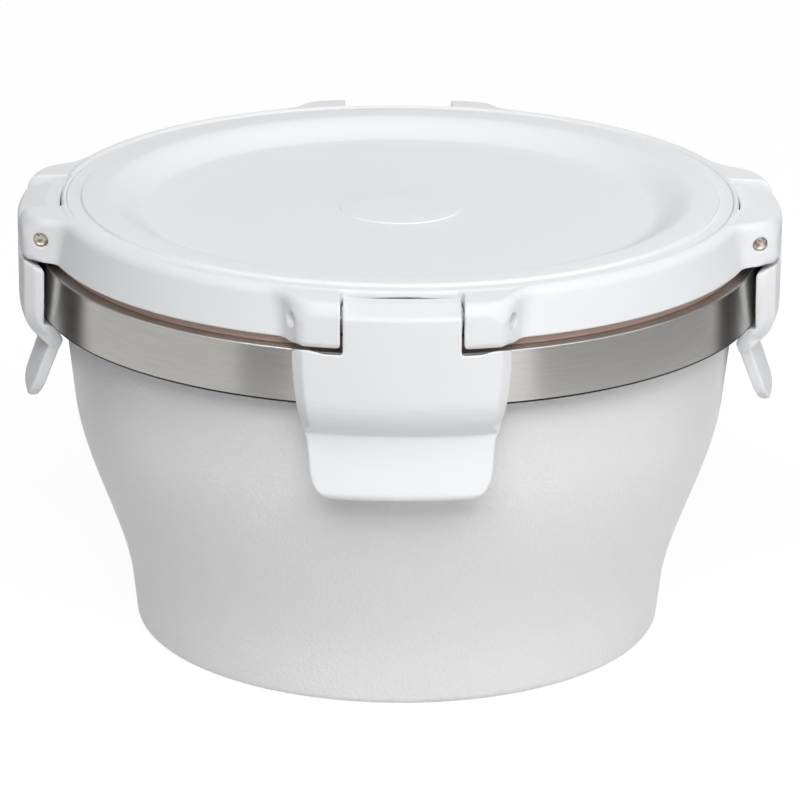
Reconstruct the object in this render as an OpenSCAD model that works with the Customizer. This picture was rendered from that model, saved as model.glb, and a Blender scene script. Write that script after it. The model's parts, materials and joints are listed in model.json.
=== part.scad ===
// Insulated stainless food bowl with a clip-down lid.
// The bowl stands on its foot at z = 0 and its axis is Z. One latch faces each of -Y, +X, +Y and -X.

/* [Bowl] */
// Inner radius of the bowl's mouth
mouth_r = 66; // [55:0.5:80]
// Thickness of the steel sheet of the shell and the liner
sheet_t = 0.7; // [0.4:0.1:1]
// Width of the vacuum space between the liner and the shell
vacuum_gap = 2.7; // [1.5:0.1:4]
// Height of the rim band's lower edge, where the latches hook on
band_z = 70.4; // [60:0.1:90]
// Outward lean of the shell's wall, as radius gained per height
wall_lean = 0.108; // [0.04:0.002:0.14]
// Radius that the shell gains where it swells from its foot to its mouth
swell = 7.3; // [2:0.1:9]
// Height where the swell begins
swell_low_z = 9.2; // [5:0.1:16]
// Height where the swell ends
swell_high_z = 49.9; // [40:0.1:58]
// Radius of the shell's bottom edge
foot_round = 1.5; // [0.8:0.1:3]
// Height of the bowl's inner floor
floor_z = 9; // [7.5:0.1:14]
// Radius of the corner between the inner floor and the wall
floor_round = 11; // [5:0.5:16]

/* [Base] */
// Width of the flat ring that the bowl stands on
foot_ring_w = 3.1; // [2:0.1:5]
// Depth of the base plate above the foot ring
base_recess = 1.9; // [1:0.1:3]
// Radius of the dimple round the vacuum port
port_dimple_r = 7; // [5:0.5:12]
// Depth of that dimple
port_dimple_h = 1.2; // [0.8:0.1:1.6]
// Radius of the vacuum port
port_r = 1.5; // [1:0.1:2.5]
// Radius of the bead that seals the port
port_bead_r = 4; // [3:0.1:4.5]
// Radius of the getter tablet
getter_r = 6; // [3:0.5:9]
// Height of the getter tablet
getter_h = 1.9; // [1:0.1:2.5]
// Distance of the getter from the bowl's axis
getter_x = 24; // [18:1:35]

/* [Rim band] */
// Height of the band
band_h = 10.7; // [8:0.1:14]
// How far the band's lower edge stands out from the shell
band_proud = 4.8; // [3:0.1:6]
// How much the band narrows towards its top
band_draft = 0.8; // [0:0.1:1.2]
// Thickness of the band's sheet
band_t = 0.8; // [0.5:0.1:1]

/* [Lid] */
// Height of the gap between the rim and the lid ring, which shows the gasket
seal_gap = 2; // [1.6:0.1:3]
// Height of the lid ring
ring_h = 9.3; // [8.5:0.1:12]
// How far the ring's lower edge stays inside the band
ring_setback = 1.5; // [0.8:0.1:2.5]
// Radius of the ring's upper outer edge
ring_shoulder = 2; // [1:0.1:3]
// Width of the strip between the seam and the step round the raised panel
strip_w = 3.05; // [1.5:0.05:6]
// Height of the small step round the panel
panel_step = 0.95; // [0.4:0.05:1.4]
// Depth of the dish in the panel
dish_depth = 3.6; // [1:0.1:5]
// Width of the flat rim of the panel, round the dish
panel_rim_w = 4.9; // [2:0.1:10]
// Width of the dish's sloping wall
dish_slope_w = 8.6; // [6:0.1:11]
// Radius of the plain raised disc in the middle of the dish
disc_r = 12.5; // [8:0.5:20]
// Thickness of the cover
cover_t = 1.8; // [1.2:0.1:2]
// Depth of the plug below the lid ring
plug_depth = 7.5; // [6:0.1:12]
// Wall of the plug
plug_t = 1.6; // [1.2:0.1:2.2]

/* [Hinges] */
// Radius of the hinge pins
pin_r = 1.5; // [1:0.1:1.8]
// Height of the pins' axes above the ring's lower edge
hinge_rise = 4.3; // [4.1:0.1:4.8]
// Distance of the pins' axes inside the latches' inner face
hinge_inset = 2.4; // [2.2:0.1:2.8]
// Radius of the latches' hinge barrels
barrel_r = 3.3; // [3:0.1:3.4]
// Half the width of a hinge barrel
barrel_w = 11.35; // [8:0.05:13]
// How far an ear pair's outer corners stay inside the latch's shoulders
ear_inset = 1.6; // [1:0.1:2.5]
// How much an ear widens from its outer face to the ring
ear_spread = 4.4; // [3:0.1:6]
// Radius of the hollow where an ear flares into the ring
ear_flare = 3; // [1.5:0.1:5]

/* [Latches] */
// Gap between the band and a latch's inner face
latch_gap = 0.6; // [0.4:0.1:1.2]
// Thickness of a latch's plate
latch_t = 3.7; // [3:0.1:5]
// Half the width of a latch at its shoulders
latch_w = 20.8; // [17:0.1:24]
// Half the width of a latch at its waist
waist_w = 18.4; // [15:0.1:20]
// Half the width of a latch's pull tab at its lower end
tab_w = 17.3; // [12:0.1:19]
// Radius of the tab's lower corners
tab_corner = 4.2; // [2:0.1:6]
// Gap between an ear's underside and a latch's shoulder
shoulder_gap = 1.2; // [1:0.1:2]
// Gap between the band's lower edge and the hook
hook_gap = 1.1; // [0.9:0.05:1.3]
// How far the hook reaches under the band
hook_reach = 1.7; // [1:0.1:2]
// Length of the plate's curve, from where it starts to the waist
belly_h = 14.35; // [12:0.1:16]
// Radius of that curve
belly_r = 22.1; // [18:0.1:40]
// Thickness of the pull tab
tab_t = 2.3; // [1.8:0.1:2.8]
// Length of the pull tab below the waist
tab_len = 11.6; // [8:0.1:16]
// Outward tilt of the pull tab in degrees
tab_tilt = 22.5; // [15:0.5:30]

/* [Hidden] */

// Smoothness
$fn = 96;
curve_steps = 24;
arc_steps = 8;

// Clearances and overruns
weld_gap = 0.02;
seat_gap = 0.05;
seal_clear = 0.15;
lip_clear = 0.25;
running_gap = 0.05;
barrel_clear = 0.4;
ear_clear = 0.85;
cut_over = 1;

// Turn of each latch about the bowl's axis
front_turn = -90;
right_turn = 0;
back_turn = 90;
left_turn = 180;

// Bowl
wall_t = 2 * sheet_t + vacuum_gap;
neck_r = mouth_r + wall_t;
rim_z = band_z + band_h;
foot_r = neck_r - band_z * wall_lean - swell;
foot_ring_r = foot_r - foot_round - foot_ring_w;
plate_z = base_recess + sheet_t;

// Rim band
band_r = neck_r + band_proud;
band_top_r = band_r - band_draft;
band_edge = 0.9;
band_inner_edge = 0.4;

// Lid
ring_z = rim_z + seal_gap;
lid_top_z = ring_z + ring_h;
ring_r = band_r - ring_setback;
ring_edge = 0.8;
crest_lean = 1.2;
crest_r = ring_r - ring_shoulder - crest_lean;
strip_rise = 0.5;
panel_edge = 0.35;
disc_h = 0.25;
disc_edge = 0.3;
panel_under = 1.2;
skirt_t = 1.7;
seat_rise = 0.6;
flange_t = 2;
flange_w = 3;
plug_lip = 1;
plug_round = 1.2;
plug_gap = 2.2;
plug_r = mouth_r - plug_gap;
seat_z = ring_z + seat_rise;
plug_z = ring_z - plug_depth;
gasket_play = 0.2;
gasket_r = ring_r - skirt_t - gasket_play;
gasket_lip_h = 3.1;

// Hinges
latch_in_r = band_r + latch_gap;
latch_r = latch_in_r + latch_t;
hinge_r = latch_in_r - hinge_inset;
hinge_z = ring_z + hinge_rise;
notch_r = hinge_r - barrel_r - barrel_clear;
notch_w = barrel_w + ear_clear;
seam_t = 0.35;
cover_r = notch_r - seam_t;
panel_r = cover_r - strip_w;
dish_floor_r = panel_r - panel_rim_w - dish_slope_w;
ear_w = latch_w - ear_inset;
ear_root_w = ear_w + ear_spread;
ear_top_round = 3.8;
ear_low_round = 3;
ear_drop = 0.35;
ear_corner = 1.6;
knuckle_slope = 15;
knuckle_round = 3.4;
knuckle_sink = 0.12;

// Plan of an ear's slanted side: where it meets the ring and the ear's outer face
ear_root = [sqrt(ring_r * ring_r - ear_root_w * ear_root_w), ear_root_w];
ear_tip = [sqrt(latch_r * latch_r - ear_w * ear_w), ear_w];
ear_slant = (ear_root - ear_tip) / (ear_tip[0] - ear_root[0]);
// The pins end flush with the lower edge of the slanted side, on the side away from the bowl
pin_half = ear_w + ear_slant[1] * (ear_tip[0] - hinge_r - pin_r) - seat_gap;

// Latches
shoulder_z = ring_z - shoulder_gap;
hook_z = band_z - hook_gap;
waist_drop = 6.75;
crease_drop = 0.4;
waist_z = hook_z - waist_drop;
waist_low_z = waist_z - crease_drop;
belly_z = waist_z + belly_h;
waist_r = latch_r - belly_r + sqrt(belly_r * belly_r - belly_h * belly_h);
toe_rise = 2.2;
latch_bevel_w = 1.8;
latch_bevel_d = 1.2;
shoulder_edge = 0.5;

// A share that rises smoothly from 0 to 1 as t goes from 0 to 1
function eased(t) = let(c = min(max(t, 0), 1)) c * c * (3 - 2 * c);

// Points of an arc from one angle to another
function arc(centre, radius, from, to, steps = arc_steps) =
    [for (i = [0:steps]) let(a = from + (to - from) * i / steps)
        centre + radius * [cos(a), sin(a)]];

// Direction of the normal of the line that touches two circles on their right side
function touch_angle(c1, r1, c2, r2) =
    let(d = c2 - c1) atan2(d[1], d[0]) + acos((r1 - r2) / norm(d));

// Radius of the shell's outer face at a height
function shell_r(z) = neck_r - max(band_z - z, 0) * wall_lean
    - swell * (1 - eased((z - swell_low_z) / (swell_high_z - swell_low_z)));

// The same, set in by a distance and rounded above a floor
function bowl_r(z, inset, low, corner) =
    let(u = min(max((low + corner - z) / corner, 0), 1))
    shell_r(z) - inset - corner * (1 - sqrt(1 - u * u));

// Outline of one face of the bowl's wall, from its floor up to a height
function bowl_side(inset, low, corner, top) = concat(
    [for (i = [0:arc_steps]) let(z = low + corner * (1 - cos(90 * i / arc_steps)))
        [bowl_r(z, inset, low, corner), z]],
    [for (i = [1:curve_steps]) let(z = low + corner + (swell_high_z - low - corner) * i / curve_steps)
        [bowl_r(z, inset, low, corner), z]],
    [[shell_r(band_z) - inset, band_z], [shell_r(band_z) - inset, top]]);

// List in the other order
function flipped(list) = [for (i = [len(list) - 1:-1:0]) list[i]];

// Turns a latch or a hinge from +X to its own side of the bowl
module on_side(turn) {
    rotate([0, 0, turn]) children();
}

// Lays a shape that is drawn along Z on a hinge's axis
module on_hinge(turn) {
    on_side(turn) translate([hinge_r, 0, hinge_z]) rotate([90, 0, 0]) children();
}

module outer_shell() {
    top = rim_z - band_t - weld_gap;
    color("whitesmoke") rotate_extrude() polygon(concat(
        [[foot_ring_r, 0]],
        bowl_side(0, 0, foot_round, top),
        flipped(bowl_side(sheet_t, sheet_t, foot_round - sheet_t / 2, top)),
        [[foot_ring_r, sheet_t]]));
}

module inner_liner() {
    top = rim_z - band_t - weld_gap;
    out = wall_t - sheet_t;
    color("silver") rotate_extrude() polygon(concat(
        [[0, floor_z - sheet_t]],
        bowl_side(out, floor_z - sheet_t, floor_round, top),
        flipped(bowl_side(wall_t, floor_z, floor_round, top)),
        [[0, floor_z]]));
}

// The band is a channel, open towards the shell, that closes the wall at the mouth.
module rim_band() {
    outer_c = [band_top_r - band_edge, rim_z - band_edge];
    color("lightgray") rotate_extrude() polygon(concat(
        [[mouth_r, rim_z - band_t], [mouth_r, rim_z - band_inner_edge],
         [mouth_r + band_inner_edge, rim_z]],
        flipped(arc(outer_c, band_edge, 0, 90)),
        flipped(arc([band_r - band_edge, band_z + band_edge], band_edge, -90, 0)),
        [[neck_r + weld_gap, band_z], [neck_r + weld_gap, band_z + band_t],
         [band_r - band_edge, band_z + band_t], [band_r - band_t, band_z + band_edge],
         [band_top_r - band_t, rim_z - band_edge], [band_top_r - band_edge, rim_z - band_t]]));
}

// A shallow pressed cup that closes the shell's underside, with a dimple round the vacuum port.
module base_plate() {
    r = foot_ring_r - weld_gap;
    dimple_flat = port_dimple_r - port_dimple_h;
    color("whitesmoke") rotate_extrude() polygon([
        [port_r, base_recess + port_dimple_h], [dimple_flat, base_recess + port_dimple_h],
        [port_dimple_r, base_recess], [r - sheet_t, base_recess], [r - sheet_t, 0], [r, 0],
        [r, plate_z], [port_dimple_r, plate_z],
        [dimple_flat, plate_z + port_dimple_h], [port_r, plate_z + port_dimple_h]]);
}

// The bead lies in the dimple and fills the port.
module port_seal() {
    bead_top = base_recess + port_dimple_h - weld_gap;
    bead_h = port_dimple_h / 2;
    color("dimgray") rotate_extrude() polygon(concat(
        [[0, bead_top - bead_h], [port_bead_r - bead_h, bead_top - bead_h], [port_bead_r, bead_top],
         [port_r - weld_gap, bead_top], [port_r - weld_gap, bead_top + sheet_t], [0, bead_top + sheet_t]]));
}

// A small cup welded to the base plate inside the vacuum holds the getter.
module getter_clip() {
    r = getter_r + weld_gap + sheet_t / 2;
    base = plate_z + weld_gap;
    color("silver") translate([getter_x, 0, base]) difference() {
        cylinder(r = r, h = getter_h + sheet_t / 2);
        translate([0, 0, sheet_t / 2]) cylinder(r = getter_r + weld_gap, h = getter_h + cut_over);
    }
}

module getter() {
    base = plate_z + 2 * weld_gap + sheet_t / 2;
    color("gray") translate([getter_x, 0, base]) cylinder(r = getter_r, h = getter_h);
}

// Outline of the lid ring's section
function ring_section() =
    let(top_c = [crest_r, lid_top_z - ring_shoulder],
        low_c = [ring_r - ring_edge, ring_z + ring_edge],
        n = touch_angle(top_c, ring_shoulder, low_c, ring_edge),
        ledge = lid_top_z - panel_step - cover_t)
    concat(
        [[cover_r, lid_top_z - strip_rise]],
        flipped(arc(top_c, ring_shoulder, n, 90)),
        flipped(arc(low_c, ring_edge, -90, n)),
        [[ring_r - skirt_t, ring_z], [ring_r - skirt_t, seat_z],
         [plug_r + seat_gap, seat_z], [plug_r + seat_gap, seat_z + flange_t],
         [plug_r + flange_w, seat_z + flange_t], [plug_r + flange_w, ledge], [cover_r, ledge]]);

// Outline of the ears' section, as deep as the latches are, which starts inside the ring's own wall
function ear_section() =
    let(top = lid_top_z - ear_drop, mid_skirt = ring_r - skirt_t / 2, over_seat = seat_z + skirt_t)
    concat(
        [[mid_skirt, ring_z], [mid_skirt, over_seat], [crest_r, over_seat], [crest_r, top]],
        flipped(arc([latch_r - ear_top_round, top - ear_top_round], ear_top_round, 0, 90)),
        flipped(arc([latch_r - ear_low_round, ring_z + ear_low_round], ear_low_round, -90, 0)));

// Plan of one flank of an ear pair: a slanted side, rounded at its outer corner and flared at its root
module ear_flank() {
    along = (ear_tip - ear_root) / norm(ear_tip - ear_root);
    away = [-along[1], along[0]];
    // Hollow at the root: a circle that touches the side and the ring from outside
    hollow_base = ear_root + ear_flare * away;
    hollow_run = -hollow_base * along
        + sqrt(pow(hollow_base * along, 2) - hollow_base * hollow_base + pow(ring_r + ear_flare, 2));
    hollow_c = hollow_base + hollow_run * along;
    hollow_side = hollow_c - ear_flare * away;
    hollow_ring = hollow_c * ring_r / (ring_r + ear_flare);
    // Corner at the tip: a circle that touches the side and the outer face from inside
    tip_base = ear_root - ear_corner * away;
    tip_run = -tip_base * along
        + sqrt(pow(tip_base * along, 2) - tip_base * tip_base + pow(latch_r - ear_corner, 2));
    tip_c = tip_base + tip_run * along;
    tip_side = tip_c + ear_corner * away;
    tip_face = tip_c * latch_r / (latch_r - ear_corner);
    polygon([[0, 0], [crest_r, 0], tip_c, tip_side, hollow_side, hollow_ring]);
    difference() {
        polygon([hollow_side, hollow_c, hollow_ring]);
        translate(hollow_c) circle(r = ear_flare);
    }
    translate(tip_c) circle(r = ear_corner);
    intersection() {
        circle(r = latch_r);
        polygon([[0, 0], [latch_r + cut_over, 0], tip_face * (latch_r + cut_over) / latch_r, tip_c]);
    }
}

// One block that holds a pair of ears, before its notch and bore are cut
module ear_block() {
    intersection() {
        rotate_extrude() polygon(ear_section());
        translate([0, 0, ring_z - cut_over]) linear_extrude(ring_h + 2 * cut_over) union() {
            ear_flank();
            mirror([0, 1]) ear_flank();
        }
    }
}

// The space between two ears, where the latch's barrel turns
module ear_notch() {
    difference() {
        translate([notch_r - cut_over - barrel_r, -notch_w, seat_z - seat_rise - cut_over])
            cube([latch_r, 2 * notch_w, ring_h + 2 * cut_over]);
        cylinder(r = notch_r, h = lid_top_z + 2 * cut_over);
    }
}

module lid_frame() {
    color("white") difference() {
        union() {
            rotate_extrude() polygon(ring_section());
            for (turn = [right_turn, back_turn, left_turn, front_turn]) on_side(turn) ear_block();
        }
        for (turn = [right_turn, back_turn, left_turn, front_turn]) {
            on_side(turn) ear_notch();
            on_hinge(turn) cylinder(r = pin_r + weld_gap, h = 2 * (ear_root_w + cut_over), center = true);
        }
    }
}

// Height of the cover's face at a radius inside the panel
function cover_z(r) = lid_top_z - dish_depth * (1 - eased((r - dish_floor_r) / dish_slope_w));

module lid_cover() {
    floor_top = lid_top_z - dish_depth;
    strip_z = lid_top_z - panel_step;
    edge_r = cover_r - seat_gap;
    ledge = strip_z - cover_t + seat_gap;
    slope = [for (i = [0:curve_steps]) dish_floor_r + dish_slope_w * i / curve_steps];
    color("white") rotate_extrude() polygon(concat(
        [[0, floor_top + disc_h], [disc_r - disc_edge, floor_top + disc_h], [disc_r, floor_top]],
        [for (r = slope) [r, cover_z(r)]],
        flipped(arc([panel_r - panel_edge, lid_top_z - panel_edge], panel_edge, 0, 90)),
        [[panel_r, strip_z], [edge_r, lid_top_z - strip_rise], [edge_r, ledge],
         [panel_r - panel_under, ledge]],
        [for (r = flipped(slope)) [r, cover_z(r) - cover_t]],
        [[0, floor_top - cover_t]]));
}

// The plug closes the lid from below, holds the gasket and reaches into the bowl's mouth.
module lid_plug() {
    flange_z = seat_z + flange_t + seat_gap;
    inner_r = plug_r - plug_t;
    bead_z = plug_z + plug_round;
    color("white") rotate_extrude() polygon(concat(
        [[0, plug_z]],
        arc([plug_r - plug_round, plug_z + plug_round], plug_round, -90, 0),
        [[plug_r + plug_lip - seal_clear, bead_z + plug_lip / 2], [plug_r, bead_z + plug_lip],
         [plug_r, flange_z], [plug_r + flange_w - seal_clear, flange_z],
         [plug_r + flange_w - seal_clear, flange_z + plug_t], [inner_r, flange_z + plug_t]],
        flipped(arc([inner_r - plug_lip, plug_z + plug_t + plug_lip], plug_lip, -90, 0)),
        [[0, plug_z + plug_t]]));
}

// The gasket lies on the rim and wipes the mouth with a lip.
module gasket() {
    top = seat_z - seat_gap;
    rim = rim_z + seal_clear;
    in_r = plug_r + seat_gap;
    lip_r = mouth_r - lip_clear;
    lip_z = rim_z - gasket_lip_h;
    lip_t = lip_r - in_r;
    color("rosybrown") rotate_extrude() polygon([
        [in_r, top], [gasket_r, top], [gasket_r, rim], [mouth_r + band_inner_edge, rim],
        [lip_r - lip_t / 3, rim - lip_t / 3], [lip_r, lip_z + 2 * lip_t / 3],
        [lip_r - lip_t / 5, lip_z + lip_t / 3], [in_r + lip_t / 3, lip_z + 2 * lip_t / 3],
        [in_r + lip_t / 3, lip_z + lip_t / 5], [in_r, lip_z + lip_t / 5]]);
}

// Outline of a latch's plate, hook and pull tab
function latch_section() =
    let(lean = [sin(tab_tilt), -cos(tab_tilt)],
        side = [cos(tab_tilt), sin(tab_tilt)],
        waist = [waist_r, waist_z],
        tip_c = waist + tab_len * lean - tab_t / 2 * (side + lean),
        belly_c = [latch_r - belly_r, belly_z],
        toe = waist - tab_t * side - toe_rise * lean)
    concat(
        [[latch_in_r, shoulder_z], [latch_r - shoulder_edge, shoulder_z],
         [latch_r, shoulder_z - shoulder_edge]],
        flipped(arc(belly_c, belly_r, -asin(belly_h / belly_r), 0)),
        flipped(arc(tip_c, tab_t / 2, tab_tilt - 180, tab_tilt)),
        [toe, [band_r - hook_reach, hook_z], [latch_in_r, hook_z]]);

// Outline of the solid part between a hinge barrel and the plate
function knuckle_section() =
    let(axis = [hinge_r, hinge_z],
        n = 90 - knuckle_slope,
        normal = [cos(n), sin(n)],
        root_r = barrel_r - knuckle_sink,
        top = axis + root_r * normal,
        run = (latch_r - knuckle_round - top[0] + knuckle_round * normal[0]) / cos(knuckle_slope),
        round_c = top + run * [cos(knuckle_slope), -sin(knuckle_slope)] - knuckle_round * normal)
    concat(
        [axis, top],
        flipped(arc(round_c, knuckle_round, 0, n)),
        [[latch_r, shoulder_z - shoulder_edge], [latch_in_r, shoulder_z - shoulder_edge],
         [latch_in_r, hinge_z - barrel_r], axis + root_r * [cos(n), -sin(n)]]);

// Front view of a latch below its shoulders: it narrows to the waist and the tab has round corners
module latch_front_view() {
    low_z = waist_z - tab_len;
    corner_c = [tab_w - tab_corner, low_z + tab_corner];
    intersection() {
        polygon([[-latch_w, shoulder_z], [latch_w, shoulder_z], [latch_w, belly_z], [waist_w, waist_low_z],
            [tab_w, low_z], [-tab_w, low_z], [-waist_w, waist_low_z], [-latch_w, belly_z]]);
        union() {
            translate([-latch_w, corner_c[1]]) square([2 * latch_w, shoulder_z - low_z]);
            translate([-corner_c[0], low_z - cut_over]) square([2 * corner_c[0], shoulder_z - low_z]);
            for (s = [-1, 1]) translate([s * corner_c[0], corner_c[1]]) circle(r = tab_corner);
        }
    }
}

// Plan of a latch: the plate's outer corners are bevelled
module latch_plan() {
    face_w = latch_w - latch_bevel_w;
    face_x = sqrt(latch_r * latch_r - face_w * face_w);
    side_x = sqrt(pow(latch_r - latch_bevel_d, 2) - latch_w * latch_w);
    polygon([[0, -latch_w], [side_x, -latch_w], [face_x, -face_w], [latch_r + cut_over, -face_w],
        [latch_r + cut_over, face_w], [face_x, face_w], [side_x, latch_w], [0, latch_w]]);
}

module latch(turn) {
    sweep = 40;
    color("white") on_side(turn) difference() {
        union() {
            intersection() {
                rotate([0, 0, -sweep / 2]) rotate_extrude(angle = sweep) polygon(latch_section());
                rotate([90, 0, 90]) linear_extrude(latch_r + cut_over) latch_front_view();
                linear_extrude(lid_top_z) latch_plan();
            }
            intersection() {
                rotate([0, 0, -sweep / 2]) rotate_extrude(angle = sweep) polygon(knuckle_section());
                translate([0, -barrel_w, 0]) cube([latch_r + cut_over, 2 * barrel_w, lid_top_z]);
            }
            translate([hinge_r, 0, hinge_z]) rotate([90, 0, 0])
                cylinder(r = barrel_r, h = 2 * barrel_w, center = true);
        }
        translate([hinge_r, 0, hinge_z]) rotate([90, 0, 0])
            cylinder(r = pin_r + running_gap, h = 2 * (barrel_w + cut_over), center = true);
    }
}

module pin(turn) {
    color("tan") on_hinge(turn) cylinder(r = pin_r, h = 2 * pin_half, center = true);
}

module pin_front() { pin(front_turn); }
module pin_right() { pin(right_turn); }
module pin_back() { pin(back_turn); }
module pin_left() { pin(left_turn); }
module latch_front() { latch(front_turn); }
module latch_right() { latch(right_turn); }
module latch_back() { latch(back_turn); }
module latch_left() { latch(left_turn); }

outer_shell();
inner_liner();
rim_band();
base_plate();
port_seal();
getter_clip();
getter();
lid_frame();
lid_cover();
lid_plug();
gasket();
pin_front();
pin_right();
pin_back();
pin_left();
latch_front();
latch_right();
latch_back();
latch_left();
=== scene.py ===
"""Dresses an insulated steel food bowl and its clip-down lid, and sets up the studio and the camera.

Every length in the classes below is in millimetres. The meshes are made in metres, in the frame of the
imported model, and each surface is worked out with numpy from a formula that its function states in words.
"""

import json
import logging
import math
from dataclasses import dataclass
from enum import Enum
from typing import Any, Callable, Sequence

import bpy
import numpy as np
from mathutils import Matrix, Vector


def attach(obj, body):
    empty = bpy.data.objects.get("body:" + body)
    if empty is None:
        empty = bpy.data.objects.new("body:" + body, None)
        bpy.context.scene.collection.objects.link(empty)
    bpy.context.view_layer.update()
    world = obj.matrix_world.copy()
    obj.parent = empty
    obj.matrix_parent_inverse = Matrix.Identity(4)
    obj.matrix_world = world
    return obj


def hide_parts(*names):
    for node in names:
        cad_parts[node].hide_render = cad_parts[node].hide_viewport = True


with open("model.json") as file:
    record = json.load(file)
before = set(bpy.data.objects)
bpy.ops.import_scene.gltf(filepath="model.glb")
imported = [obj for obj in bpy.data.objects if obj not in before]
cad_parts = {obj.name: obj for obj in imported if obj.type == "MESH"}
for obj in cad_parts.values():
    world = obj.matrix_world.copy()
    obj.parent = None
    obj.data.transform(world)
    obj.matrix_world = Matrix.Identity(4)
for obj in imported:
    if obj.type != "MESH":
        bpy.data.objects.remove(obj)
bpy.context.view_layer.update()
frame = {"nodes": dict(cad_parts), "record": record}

log = logging.getLogger("bowl")

Array = np.ndarray
MM = 0.001
WHITE = (1.0, 1.0, 1.0, 1.0)


class Side(Enum):
    """The four sides of the bowl that carry a latch, as the latch's turn about the axis in degrees."""

    FRONT = -90
    RIGHT = 0
    BACK = 90
    LEFT = 180


# Outlines and distances


def eased(t: Array) -> Array:
    """Rises smoothly from 0 to 1 as t goes from 0 to 1: three t squared less two t cubed."""
    c = np.clip(t, 0.0, 1.0)
    return c * c * (3.0 - 2.0 * c)


def arc(centre: Sequence[float], radius: float, start: float, stop: float, steps: int = 12) -> Array:
    """Gives points on an arc: the centre plus the radius times cosine and sine of evenly spaced angles.

    Args:
        centre: The arc's centre.
        radius: Its radius.
        start: The first point's angle in degrees.
        stop: The last point's angle in degrees.
        steps: How many chords the arc has.

    Returns:
        The points, one row each.
    """
    a = np.radians(np.linspace(start, stop, steps + 1))
    return np.asarray(centre) + radius * np.stack([np.cos(a), np.sin(a)], axis=1)


def rounded(corners: Sequence[Sequence[float]], steps: int = 6) -> Array:
    """Rounds the corners of a closed outline.

    Each corner gives way to an arc that touches both of its sides: the arc starts and ends at the radius
    times the tangent of half the turn away from the corner, and its points run evenly in angle.

    Args:
        corners: Rows of x, y and the corner's radius, where 0 keeps the corner.
        steps: How many chords each arc has.

    Returns:
        The outline's points, one row each.
    """
    c = np.asarray(corners, float)
    straight = math.radians(89)
    rows = []
    for before, here, after in zip(np.roll(c, 1, axis=0), c, np.roll(c, -1, axis=0)):
        a = before[:2] - here[:2]
        b = after[:2] - here[:2]
        a /= np.linalg.norm(a)
        b /= np.linalg.norm(b)
        half = math.acos(float(np.clip(a @ b, -1.0, 1.0))) / 2
        if here[2] == 0 or half > straight:
            rows.append(here[None, :2])
            continue
        middle = (a + b) / np.linalg.norm(a + b)
        centre = here[:2] + middle * here[2] / math.sin(half)
        first = here[:2] + a * here[2] / math.tan(half) - centre
        last = here[:2] + b * here[2] / math.tan(half) - centre
        start = math.degrees(math.atan2(first[1], first[0]))
        turn = (math.degrees(math.atan2(last[1], last[0])) - start + 180) % 360 - 180
        rows.append(arc(centre, here[2], start, start + turn, steps))
    return np.concatenate(rows)


def outline_distance(x: Array, y: Array, outline: Array) -> Array:
    """Signed distance to a closed outline.

    It is the least distance to the outline's sides, negative where a ray from the point crosses the
    outline an odd number of times.

    Args:
        x: The points' first coordinates.
        y: Their second coordinates.
        outline: The outline's points, one row each.

    Returns:
        The signed distances.
    """
    least = np.full(x.shape, np.inf)
    inside = np.zeros(x.shape, bool)
    for (ax, ay), (bx, by) in zip(outline, np.roll(outline, -1, axis=0)):
        ex, ey = bx - ax, by - ay
        px, py = x - ax, y - ay
        t = np.clip((px * ex + py * ey) / (ex * ex + ey * ey), 0.0, 1.0)
        least = np.minimum(least, (px - t * ex) ** 2 + (py - t * ey) ** 2)
        inside ^= ((ay > y) != (by > y)) & ((px * ey < ex * py) == (ey > 0))
    return np.where(inside, -1.0, 1.0) * np.sqrt(least)


def round_max(a: Array, b: Array, radius: Any) -> Array:
    """What two bodies share, with the edge between them rounded.

    Inside, it is the larger of the two distances. Near the edge, it is the distance to a circle of that
    radius that touches both.

    Args:
        a: The first body's signed distances.
        b: The second body's signed distances.
        radius: The edge's radius, one for all points or one for each.

    Returns:
        The signed distances.
    """
    deep = np.minimum(np.maximum(a, b), -radius)
    return deep + np.hypot(np.maximum(a + radius, 0.0), np.maximum(b + radius, 0.0))


def round_min(a: Array, b: Array, radius: Any) -> Array:
    """Two bodies joined, with a fillet of that radius between them: round_max turned inside out."""
    return -round_max(-a, -b, radius)


# Meshes


def make_object(name: str, points: Array, faces: Sequence[Sequence[int]],
                crease: float = 180.0) -> bpy.types.Object:
    """Makes a smooth-shaded mesh object.

    Args:
        name: The object's name.
        points: The vertices in millimetres, one row each.
        faces: The faces, as rows of vertex numbers.
        crease: The angle in degrees above which an edge stays sharp.

    Returns:
        The new object, at the origin.
    """
    mesh = bpy.data.meshes.new(name)
    mesh.from_pydata((points * MM).tolist(), [], faces)
    mesh.validate()
    mesh.shade_smooth()
    if crease < 180.0:
        mesh.set_sharp_from_angle(angle=math.radians(crease))
    mesh.update()
    piece = bpy.data.objects.new(name, mesh)
    bpy.context.scene.collection.objects.link(piece)
    return piece


def ring_faces(turns: int, count: int, poles: bool) -> list[list[int]]:
    """Gives the faces of a grid whose points go round an axis.

    A face joins a point, the next one of its step and the same two of the step ahead. At a pole, it joins
    the pole and the end points of a step and of the step ahead.

    Args:
        turns: How many steps the circle has.
        count: How many points each step holds.
        poles: Whether a point for each end follows the grid's own. Otherwise each step closes on itself.

    Returns:
        The faces, as rows of vertex numbers.
    """
    number = np.arange(turns * count).reshape(turns, count)
    ahead = np.roll(number, -1, axis=0)
    if not poles:
        quads = np.stack([number, np.roll(number, -1, axis=1), np.roll(ahead, -1, axis=1), ahead], axis=-1)
        return quads.reshape(-1, 4).tolist()
    quads = np.stack([number[:, :-1], number[:, 1:], ahead[:, 1:], ahead[:, :-1]], axis=-1)
    first, last = turns * count, turns * count + 1
    start = np.stack([np.full(turns, first), number[:, 0], ahead[:, 0]], axis=1)
    end = np.stack([np.full(turns, last), ahead[:, -1], number[:, -1]], axis=1)
    return quads.reshape(-1, 4).tolist() + start.tolist() + end.tolist()


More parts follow.
